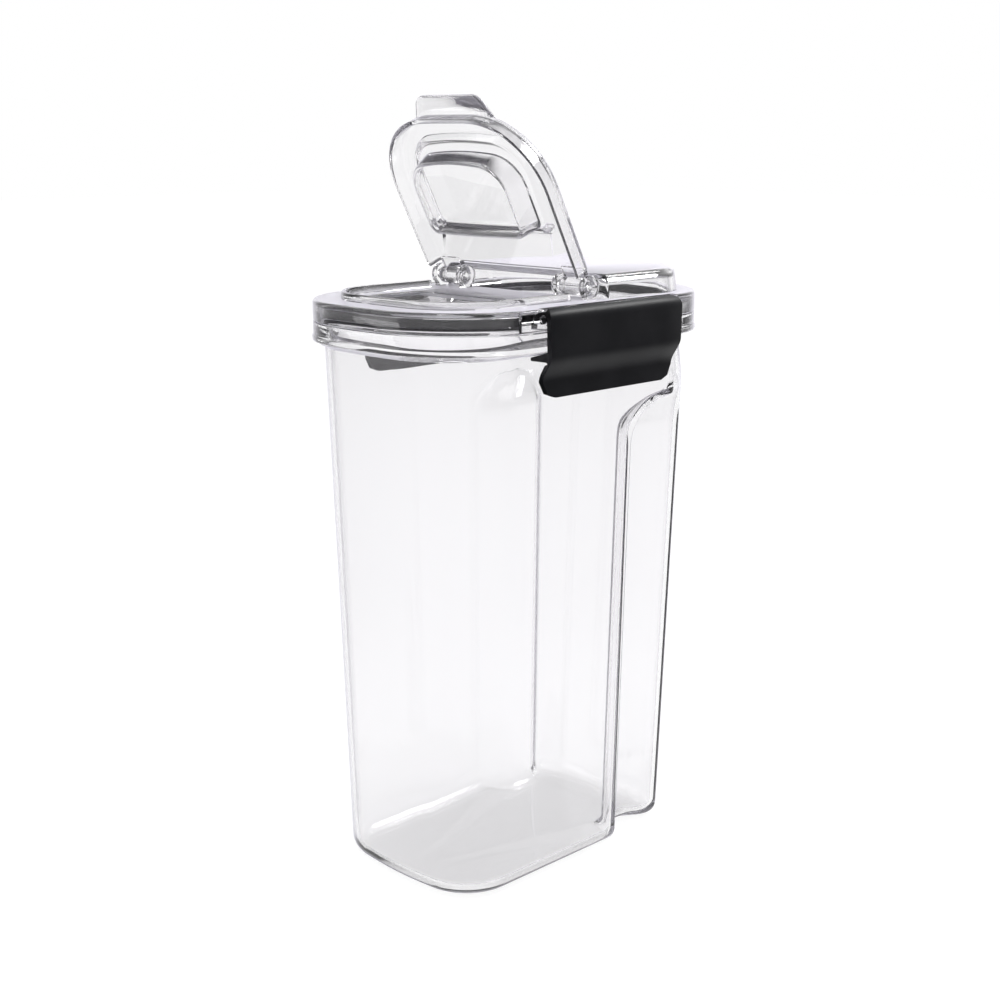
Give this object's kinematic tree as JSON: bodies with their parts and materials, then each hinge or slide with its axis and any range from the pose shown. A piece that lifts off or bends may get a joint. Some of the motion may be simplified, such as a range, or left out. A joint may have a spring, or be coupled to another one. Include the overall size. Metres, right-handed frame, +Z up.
{
  "type": "flip-spout food container",
  "caption": "Tapered clear container with finger scoops, gasketed lid, hinged spout cap and side latches.",
  "frame": {"origin": "middle of the base, where it stands on the table", "axes": "+Z up, the spout faces -Y, the latches are on the +X and -X sides"},
  "size_m": [0.115, 0.1618, 0.319],
  "materials": {
    "clear_body": "clear, polished",
    "clear_lid": "clear, polished",
    "clear_cap": "clear, polished",
    "gasket": "satin silicone",
    "latch": "fine satin grain"
  },
  "bodies": {
    "container": {"container_body": "clear_body"},
    "lid": {"lid": "clear_lid", "lid_gasket": "gasket"},
    "cap": {"spout_cap": "clear_cap"},
    "latch_right": {"right_latch": "latch"},
    "latch_left": {"left_latch": "latch"}
  },
  "joints": [
    {"name": "lid_lift", "type": "slide", "parent": "container", "child": "lid", "axis": [0, 0, 1], "range_m": [0, 0.17]},
    {"name": "cap_hinge", "type": "hinge", "parent": "lid", "child": "cap", "pos_m": [0, 0.0032, 0.2449], "axis": [-1, 0, 0], "range_deg": [-62, 38]},
    {"name": "latch_right_hinge", "type": "hinge", "parent": "lid", "child": "latch_right", "pos_m": [0.053, 0.006, 0.2355], "axis": [0, -1, 0], "range_deg": [0, 105]},
    {"name": "latch_left_hinge", "type": "hinge", "parent": "lid", "child": "latch_left", "pos_m": [-0.053, 0.006, 0.2355], "axis": [0, 1, 0], "range_deg": [0, 105]}
  ]
}
